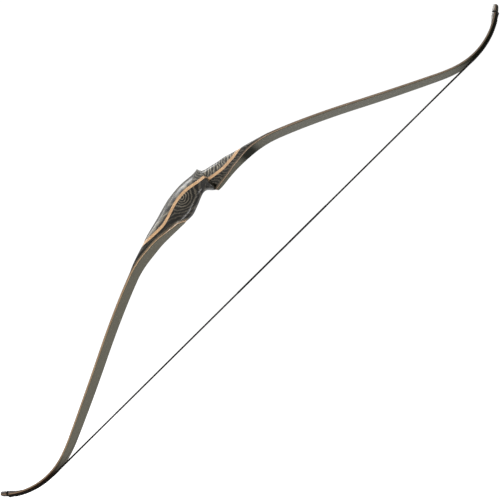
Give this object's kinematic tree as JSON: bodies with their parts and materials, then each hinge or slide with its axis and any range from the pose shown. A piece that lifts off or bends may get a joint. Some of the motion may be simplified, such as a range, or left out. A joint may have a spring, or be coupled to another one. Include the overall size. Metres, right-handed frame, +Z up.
{
  "type": "recurve bow",
  "caption": "One-piece laminated recurve bow, strung: wooden riser with arrow shelf and sight window, bending limbs with string grooves, and a served bowstring.",
  "frame": {"origin": "throat of the grip on the belly side, in the middle plane of the bow", "axes": "+Z up the bow along the string, +X from the back of the bow towards the string, -Y towards the side of the sight window and arrow shelf"},
  "size_m": [0.2541, 0.0436, 1.4056],
  "materials": {
    "riser_laminate": "dark dyed veneer laminate with fine pale lines, gloss lacquer",
    "front_laminate": "dark dyed veneer laminate with fine pale lines, gloss lacquer",
    "accent_wood": "light golden wood, gloss lacquer",
    "limb_glass": "black glass-fibre skin, gloss",
    "limb_core": "pale tan edge grain, gloss lacquer",
    "tip_laminate": "black laminate, gloss lacquer",
    "string": "waxed dark twisted strands",
    "serving": "tightly wound dark thread"
  },
  "bodies": {
    "riser": {"riser_grip_block": "riser_laminate", "riser_front_block": "front_laminate", "accent_stripe": "accent_wood", "upper_belly_glass_base": "limb_glass", "upper_belly_core_base": "limb_core", "upper_back_core_base": "limb_core", "upper_back_glass_base": "limb_glass", "lower_belly_glass_base": "limb_glass", "lower_belly_core_base": "limb_core", "lower_back_core_base": "limb_core", "lower_back_glass_base": "limb_glass"},
    "upper_limb": {"upper_belly_glass": "limb_glass", "upper_belly_core": "limb_core", "upper_back_core": "limb_core", "upper_back_glass": "limb_glass", "upper_tip_overlay": "tip_laminate", "upper_string_loop": "string"},
    "upper_string_outer": {"upper_string_contact_outer": "string"},
    "upper_string_middle": {"upper_string_contact_inner": "string"},
    "upper_string": {"upper_string_twist": "string", "upper_string_strand": "string", "upper_serving": "serving"},
    "lower_limb": {"lower_belly_glass": "limb_glass", "lower_belly_core": "limb_core", "lower_back_core": "limb_core", "lower_back_glass": "limb_glass", "lower_tip_overlay": "tip_laminate", "lower_string_loop": "string"},
    "lower_string_outer": {"lower_string_contact_outer": "string"},
    "lower_string_middle": {"lower_string_contact_inner": "string"},
    "lower_string": {"lower_string_twist": "string", "lower_string_strand": "string", "lower_serving": "serving"}
  },
  "joints": [
    {"name": "upper_limb_flex", "type": "hinge", "parent": "riser", "child": "upper_limb", "pos_m": [0.12146, 0, 0.379], "axis": [0, 1, 0], "range_deg": [0, 33.54], "stiffness_Nm_per_rad": 115},
    {"name": "upper_string_lift_outer", "type": "hinge", "parent": "upper_limb", "child": "upper_string_outer", "pos_m": [0.18437, 0, 0.66624], "axis": [0, -1, 0], "range_deg": [0, 39.85]},
    {"name": "upper_string_lift_middle", "type": "hinge", "parent": "upper_string_outer", "child": "upper_string_middle", "pos_m": [0.20381, 0, 0.62609], "axis": [0, -1, 0], "range_deg": [0, 17.36]},
    {"name": "upper_string_lift_inner", "type": "hinge", "parent": "upper_string_middle", "child": "upper_string", "pos_m": [0.21049, 0, 0.58197], "axis": [0, -1, 0], "range_deg": [0, 8.69]},
    {"name": "lower_limb_flex", "type": "hinge", "parent": "riser", "child": "lower_limb", "pos_m": [0.12146, 0, -0.411], "axis": [0, -1, 0], "range_deg": [0, 33.55], "stiffness_Nm_per_rad": 115},
    {"name": "lower_string_lift_outer", "type": "hinge", "parent": "lower_limb", "child": "lower_string_outer", "pos_m": [0.18437, 0, -0.69825], "axis": [0, 1, 0], "range_deg": [0, 35.03]},
    {"name": "lower_string_lift_middle", "type": "hinge", "parent": "lower_string_outer", "child": "lower_string_middle", "pos_m": [0.20381, 0, -0.65809], "axis": [0, 1, 0], "range_deg": [0, 17.36]},
    {"name": "lower_string_lift_inner", "type": "hinge", "parent": "lower_string_middle", "child": "lower_string", "pos_m": [0.21049, 0, -0.61397], "axis": [0, 1, 0], "range_deg": [0, 8.69]}
  ],
  "couplings": [
    {"joint": "lower_limb_flex", "follows": "upper_limb_flex", "ratio": 1},
    {"joint": "upper_string_lift_outer", "follows": "upper_limb_flex", "ratio": 1.1803},
    {"joint": "upper_string_lift_middle", "follows": "upper_limb_flex", "ratio": 0.51356},
    {"joint": "upper_string_lift_inner", "follows": "upper_limb_flex", "ratio": 0.25678},
    {"joint": "lower_string_lift_outer", "follows": "upper_limb_flex", "ratio": 1.0373},
    {"joint": "lower_string_lift_middle", "follows": "upper_limb_flex", "ratio": 0.51356},
    {"joint": "lower_string_lift_inner", "follows": "upper_limb_flex", "ratio": 0.25678}
  ]
}
